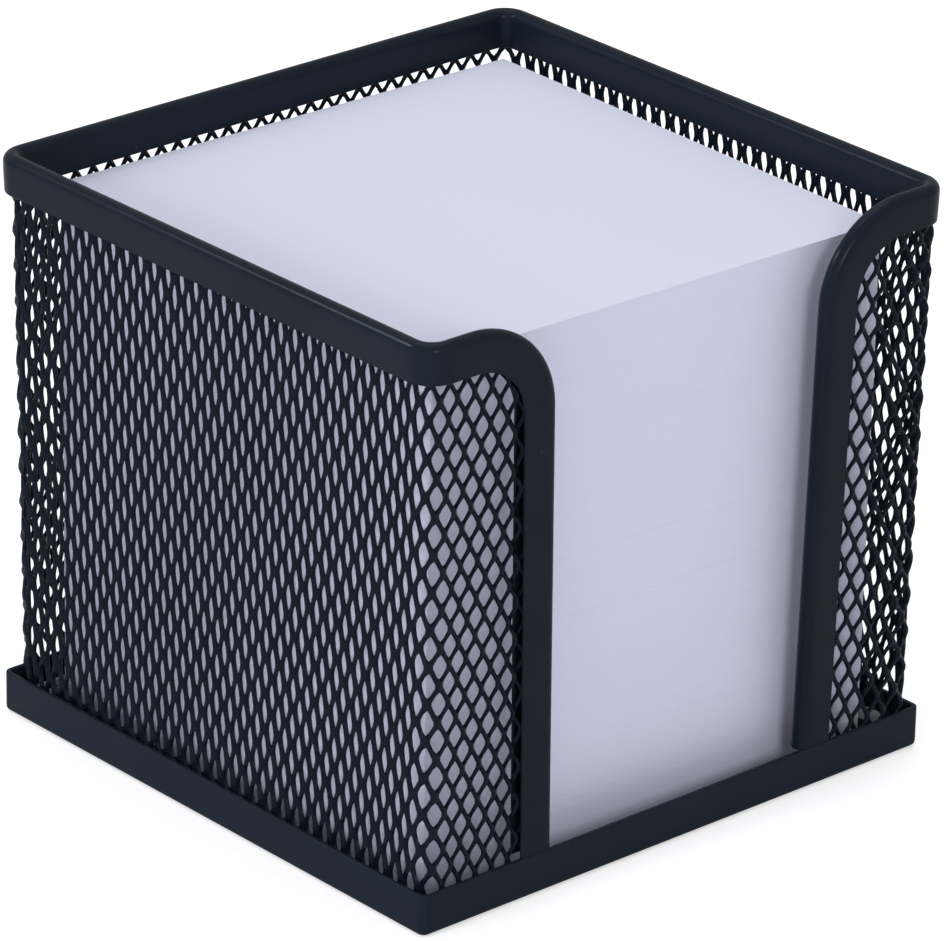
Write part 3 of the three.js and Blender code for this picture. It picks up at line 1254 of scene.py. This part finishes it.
    def band(self, begin: float, end: float) -> tuple[list, list]:
        """Draws the sheet's uncut margin along the foot, flat.

        Args:
            begin: Start along the path.
            end: End along the path.

        Returns:
            Points and faces.
        """
        foot = self.sizes.foot_place + self.least_inset
        start, stop = max(begin, foot), min(end, self.sizes.path_length - foot)
        count = max(2, math.ceil((stop - start) / self.band_step))
        half = self.band_thickness / 2
        low, high = self.sizes.sheet, self.sizes.sheet + self.band_height
        corners = [(-half, low), (half, low), (half, high), (-half, high)]
        places = [start + (stop - start) * i / count for i in range(count + 1)]
        return lofted([[(s, out, z) for out, z in corners] for s in places])

    def build(self) -> None:
        """Builds and places the wall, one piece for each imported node."""
        sizes, half_row = self.sizes, self.row_pitch / 2
        knot, tree = self.knot(), self.tree()
        most_rise = max(end.rise for end in self.lay)
        lowest_row = math.floor((self.lowest_knot - most_rise - self.first_row) / half_row)
        highest_row = math.ceil((sizes.height - self.least_inset - self.first_row) / half_row)
        shared = {
            "Knot": knot,
            "Rows": highest_row - lowest_row + 1,
            "Lowest Row": lowest_row,
            "Half Row": half_row,
            "First Row": self.first_row,
            "Lowest Knot": self.lowest_knot,
            "Half Pitch": self.pitch / 2,
            "Middle Level": self.middle_level,
            "Path Length": sizes.path_length,
            "Shoulder Place": sizes.shoulder_place,
            "Shoulder Level": sizes.shoulder_level,
            "Shoulder Radius": sizes.shoulder,
            "Foot Place": sizes.foot_place,
            "Least Inset": self.least_inset,
            "Coat": self.finishes.net_coat,
            **self.bend.values(self.shift),
        }
        for (name, begin, end), here, there in zip(sizes.legs(), self.lay, self.lay[1:]):
            first_column = math.floor(here.column)
            own = {"First Column": first_column, "Columns": math.ceil(there.column) - first_column + 1}
            for side, leg, lay in (("Begin", begin, here), ("End", end, there)):
                places = {"Leg": leg, "Column": lay.column, "Rise": lay.rise, "Drift": lay.drift}
                own |= {f"{key} {side}": place for key, place in places.items()}
            made = capped(with_nodes(mesh_object(name.replace("wall", "net")), tree, {**shared, **own}))
            margin = facing_out(self.bend.apply(mesh_object("margin", *self.band(begin, end)), self.shift))
            with opened(made.data) as shell:
                shell.from_mesh(margin.data)
            bpy.data.objects.remove(margin)
            shaded(made, self.sharp_degrees)
            placed(made, Body.HOLDER, Slot.NET, name)
        bpy.data.objects.remove(knot)


# Paper


@dataclass
class PaperBlock:
    """The block of loose sheets, in packs, and the sheet on top.

    Every sheet slips and turns by its own play, and the stack drifts slowly
    with its height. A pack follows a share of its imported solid's own slip.
    """

    sizes: HolderSizes
    finishes: Finishes
    packs: int = 9
    sheet_thickness: float = 0.1 * MM
    play: float = 0.012 * MM
    turn_play: float = 0.0003
    drift: float = 0.035 * MM
    drift_rate: float = 420.0
    drift_detail: float = 3.0
    slip_share: float = 0.3

    @staticmethod
    def slab(name: str, width: float, middle: Vector, height: float, turn: float = 0.0) -> Item:
        """Makes a square slab.

        Args:
            name: Name of the object.
            width: Length of its sides.
            middle: Place of its middle.
            height: Height of the slab.
            turn: How far it is turned about its upright axis, in radians.

        Returns:
            The slab.
        """
        place = Matrix.Translation(middle) @ Matrix.Rotation(turn, 4, "Z")
        half = width / 2
        corners = [(-half, -half), (half, -half), (half, half), (-half, half)]
        rings = [[place @ Vector((x, y, z)) for x, y in corners] for z in (-height / 2, height / 2)]
        return facing_out(mesh_object(name, *lofted(rings)))

    def tree(self) -> Tree:
        """Builds the tree that stacks sheets with a little play.

        Returns:
            The tree.
        """
        tree, desk, given, target = new_tree(
            "sheet_stack",
            TreeKind.GEOMETRY,
            {
                "Geometry": ("Geometry",),
                "Object": ("Sheet",),
                "Int": ("Sheets", "Seed"),
                "Float": ("Thickness", "Centre X", "Centre Y", "Block Turn", "Bottom", "Play", "Drift"),
                "Material": ("Paper",),
            },
            {"Geometry": ("Geometry",)},
        )
        line = desk.made("GeometryNodeMeshLine", {"Count": given["Sheets"]}, mode="OFFSET")
        index = desk.made("GeometryNodeInputIndex")
        height = desk.plus(desk.times(desk.plus(index, 0.5), given["Thickness"]), given["Bottom"])
        slow = desk.joined(desk.times(height, self.drift_rate), 0.0, 0.0)
        wander = desk.noise(slow, 1.0, self.drift_detail).outputs["Color"]
        centred = desk.vector("SUBTRACT", wander, (0.5, 0.5, 0.5))
        drift_x, drift_y, _ = desk.parts(desk.scaled(centred, desk.times(given["Drift"], 2.0)))
        wires = {0: (-1.0, -1.0, -1.0), 1: (1.0, 1.0, 1.0), "ID": index, "Seed": given["Seed"]}
        slip = desk.made("FunctionNodeRandomValue", wires, data_type="FLOAT_VECTOR")
        slip_x, slip_y, turn = desk.parts(slip)
        x = desk.plus(desk.line(slip_x, given["Play"], given["Centre X"]), drift_x)
        y = desk.plus(desk.line(slip_y, given["Play"], given["Centre Y"]), drift_y)
        turned = desk.joined(0.0, 0.0, desk.line(turn, self.turn_play, given["Block Turn"]))
        laid = desk.moved(line, desk.joined(x, y, height))
        stacked = desk.spread(laid, desk.shape(given["Sheet"]), {"Rotation": turned})
        desk.wire(target["Geometry"], desk.dressed(stacked, given["Paper"]))
        return tree

    def build(self) -> None:
        """Builds and places the packs and the top sheet."""
        width, margin = self.sizes.paper_width, self.play + self.drift
        sheet = self.slab("sheet", width - 2 * margin, Vector(), self.sheet_thickness)
        tree = self.tree()
        nodes = [f"note_pack_{number}" for number in range(1, self.packs + 1)]
        middles = [sum(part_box(node), Vector()) / 2 for node in nodes]
        block = sum(middles, Vector()) / self.packs
        for number, (node, middle) in enumerate(zip(nodes, middles), 1):
            low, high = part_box(node)
            centre = block.lerp(middle, self.slip_share)
            sheets = round((high.z - low.z) / self.sheet_thickness)
            values = {
                "Sheet": sheet,
                "Sheets": sheets,
                "Thickness": (high.z - low.z) / sheets,
                "Centre X": centre.x,
                "Centre Y": centre.y,
                "Block Turn": self.sizes.block_turn,
                "Bottom": low.z,
                "Play": self.play,
                "Drift": self.drift,
                "Seed": number,
                "Paper": self.finishes.sheet_edge,
            }
            made = with_nodes(mesh_object(f"sheets_{number}"), tree, values)
            placed(made, Body.BLOCK, Slot.PAPER, node)
        bpy.data.objects.remove(sheet)
        low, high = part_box("top_sheet")
        top = self.slab("sheet_on_top", width, (low + high) / 2, high.z - low.z, self.sizes.block_turn)
        top.data.materials.append(self.finishes.sheet_face_with_painted_light)
        placed(top, Body.TOP, Slot.PAPER, "top_sheet")


# Studio


@dataclass(frozen=True)
class Lamp:
    """A round lamp: its place, its width in metres and its power in watts."""

    name: str
    place: Triple
    width: float
    power: float
    colour: Triple = (1.0, 1.0, 1.0)
    in_gloss: bool = True
    on_matt: bool = True


def soft_lamps() -> tuple[Lamp, ...]:
    """Lists a broad soft lamp overhead, weaker ones at the front and left, and one for the glint on folds.

    Returns:
        The lamps.
    """
    return (
        Lamp("overhead", (0.15, 0.35, 1.5), 1.3, 5.6),
        Lamp("front", (-0.6, -1.36, 0.72), 0.42, 5.2),
        Lamp("left", (-1.42, 0.05, 0.5), 0.5, 9.3, in_gloss=False),
        Lamp("glint", (-0.3, 0.26, 0.36), 0.08, 0.75, colour=(0.8, 0.9, 1.0), on_matt=False),
    )


@dataclass
class Studio:
    """The floor, the lamps, the world and the camera."""

    camera_place: Triple = (-0.668046, -0.746896, 0.488661)
    camera_right: Triple = (0.749907, -0.661278, 0.018705)
    camera_up: Triple = (0.255125, 0.315176, 0.914098)
    lens: float = 265.84
    sensor: float = 36.0
    clip_start: float = 0.05
    lamps: tuple[Lamp, ...] = field(default_factory=soft_lamps)
    aim: Triple = (0.0, 0.0, 0.05)
    floor_half: float = 6.0
    floor_gap: float = 0.2 * MM
    floor_colour: Colour = (0.8, 0.8, 0.82, 1)
    floor_roughness: float = 0.9
    floor_specular: float = 0.1
    floor_lift: float = 0.5
    room_light: float = 0.55
    room_lift: float = 0.45

    def build(self) -> None:
        """Builds the studio."""
        bpy.context.scene.view_settings.view_transform = "Standard"
        self._floor()
        self._world()
        for lamp in self.lamps:
            self._lamp(lamp)
        self._camera()

    @staticmethod
    def _seen_directly(desk: NodeDesk) -> Socket:
        """One for rays from the camera, zero for light on surfaces."""
        rays = desk.add("ShaderNodeLightPath").outputs
        return desk.math("MAXIMUM", rays["Is Camera Ray"], rays["Is Transmission Ray"])

    def _floor(self) -> None:
        """A large pale floor that stays white round the object and keeps its shadow."""
        half = self.floor_half
        corners = [(-half, -half, 0), (half, -half, 0), (half, half, 0), (-half, half, 0)]
        floor = mesh_object("floor", corners, [(0, 1, 2, 3)])
        floor.location.z = -self.floor_gap
        material, desk, shader, _ = new_material("floor_paint")
        shader["Base Color"].default_value = self.floor_colour
        shader["Roughness"].default_value = self.floor_roughness
        shader["Specular IOR Level"].default_value = self.floor_specular
        shader["Emission Color"].default_value = (1, 1, 1, 1)
        desk.wire(shader["Emission Strength"], desk.times(self._seen_directly(desk), self.floor_lift))
        floor.data.materials.append(material)

    def _world(self) -> None:
        """A soft, even room, paler where the camera sees it."""
        world = bpy.data.worlds.new("room")
        bpy.context.scene.world = world
        world.use_nodes = True
        desk = NodeDesk(world.node_tree)
        background = world.node_tree.nodes["Background"].inputs
        background["Color"].default_value = (1, 1, 1, 1)
        strength = desk.line(self._seen_directly(desk), self.room_lift, self.room_light)
        desk.wire(background["Strength"], strength)

    def _lamp(self, lamp: Lamp) -> None:
        """Hangs a lamp and aims it at the object.

        Args:
            lamp: The lamp.
        """
        data = bpy.data.lights.new(lamp.name, "AREA")
        data.shape, data.size, data.energy, data.color = "DISK", lamp.width, lamp.power, lamp.colour
        made = linked(lamp.name, data)
        made.location = lamp.place
        made.rotation_euler = (Vector(self.aim) - Vector(lamp.place)).to_track_quat("-Z", "Y").to_euler()
        made.visible_glossy = lamp.in_gloss
        made.visible_diffuse = made.visible_camera = lamp.on_matt

    def _camera(self) -> None:
        """The camera at the photograph's place."""
        data = bpy.data.cameras.new("camera")
        data.lens, data.sensor_width, data.clip_start = self.lens, self.sensor, self.clip_start
        right, up = Vector(self.camera_right), Vector(self.camera_up)
        turned = Matrix((right, up, right.cross(up))).transposed().to_4x4()
        made = linked("camera", data)
        made.matrix_world = Matrix.Translation(self.camera_place) @ turned
        bpy.context.scene.camera = made


# Main


def main() -> None:
    """Builds every piece of the model and the studio round it."""
    logging.basicConfig(level=logging.INFO, format="%(name)s: %(message)s")
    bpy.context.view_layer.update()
    sizes, finishes = HolderSizes(), Finishes()
    bend = WallBend(sizes)
    Tray(sizes, finishes).build()
    EdgeChannel(sizes, finishes, bend).build()
    ExpandedNet(sizes, finishes, bend).build()
    PaperBlock(sizes, finishes).build()
    bend.close()
    Studio().build()


if __name__ == "__main__":
    main()
